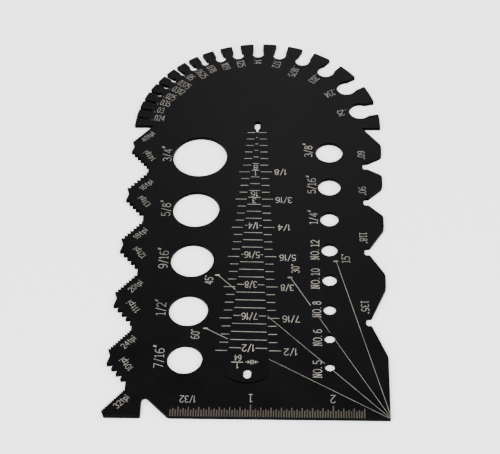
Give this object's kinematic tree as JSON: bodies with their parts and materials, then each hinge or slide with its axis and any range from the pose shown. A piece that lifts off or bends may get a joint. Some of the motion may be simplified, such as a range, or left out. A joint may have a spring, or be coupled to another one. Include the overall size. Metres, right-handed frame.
{
  "type": "thread pitch gauge",
  "caption": "Flat black plate gauge with pitch teeth, wire slots, point-angle notches, sizing holes, a rule edge and a loose taper gauge lying in its long slot.",
  "frame": {"origin": "centre of the plate's bounding box, on its back face", "axes": "+X along the rule edge towards its far end, +Y up the plate from the rule edge towards the round top, +Z out of the marked face"},
  "size_m": [0.0888, 0.1682, 0.0015],
  "materials": {
    "plate_black": "satin blackened steel",
    "taper_black": "satin blackened steel",
    "etched_marks": "matt laser-etched marks"
  },
  "bodies": {
    "plate": {"gauge_plate": "plate_black"},
    "taper": {"taper_gauge": "taper_black"}
  },
  "joints": [
    {"name": "taper_lift", "type": "slide", "parent": "plate", "child": "taper", "axis": [0, 0, 1], "range_m": [0, 0.02]}
  ]
}
